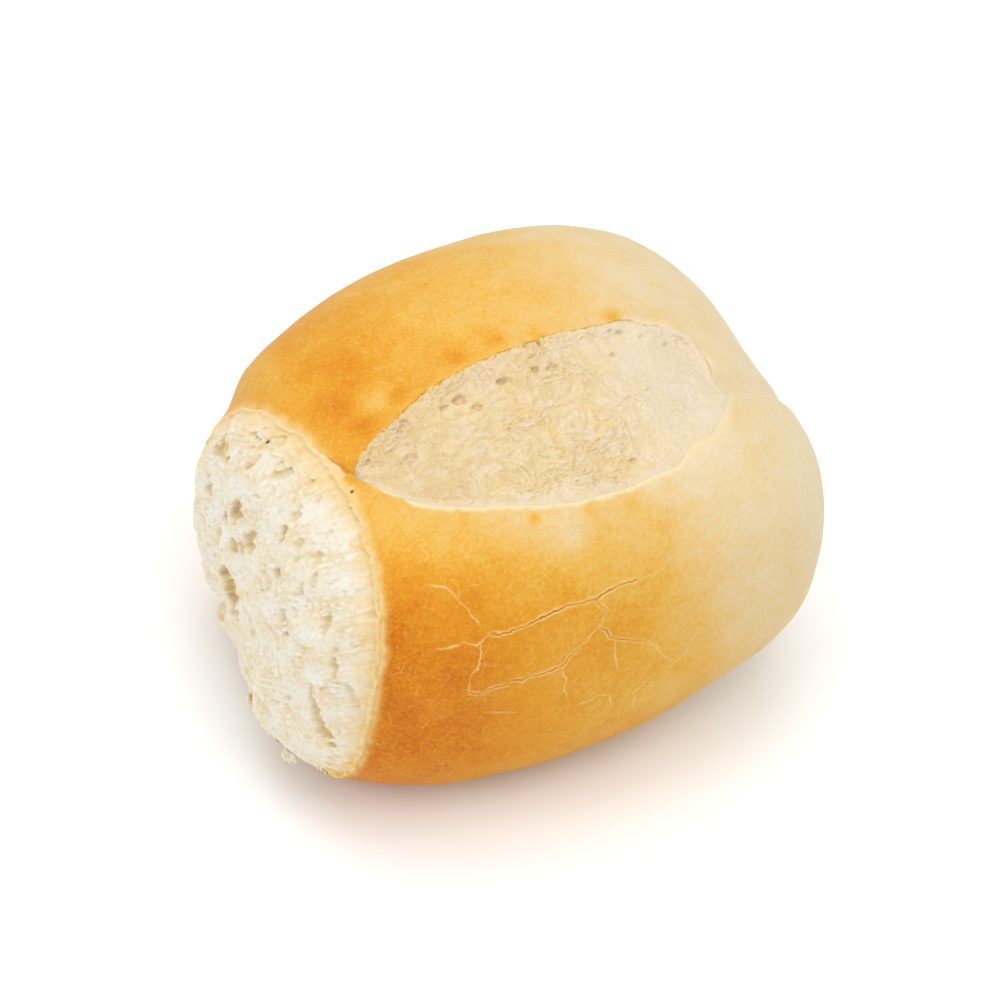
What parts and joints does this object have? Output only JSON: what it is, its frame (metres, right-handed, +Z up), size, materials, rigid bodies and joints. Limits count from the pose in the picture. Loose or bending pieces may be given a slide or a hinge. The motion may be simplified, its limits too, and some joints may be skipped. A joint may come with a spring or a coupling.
{
  "type": "bread roll",
  "caption": "Oval crusty bread roll with an opened slash along the top and one torn end where it was pulled from its neighbour.",
  "frame": {"origin": "centre of the roll's bounding box on the table it rests on", "axes": "+X along the slash, away from the torn end; +Y across the roll; +Z up"},
  "size_m": [0.099, 0.0896, 0.0644],
  "materials": {
    "crust": "matt golden baked crust, paler towards the whole end",
    "crumb": "soft matt white crumb of the torn end and cream crumb of the slash"
  },
  "bodies": {
    "root": {"roll": "crust"}
  },
  "joints": []
}
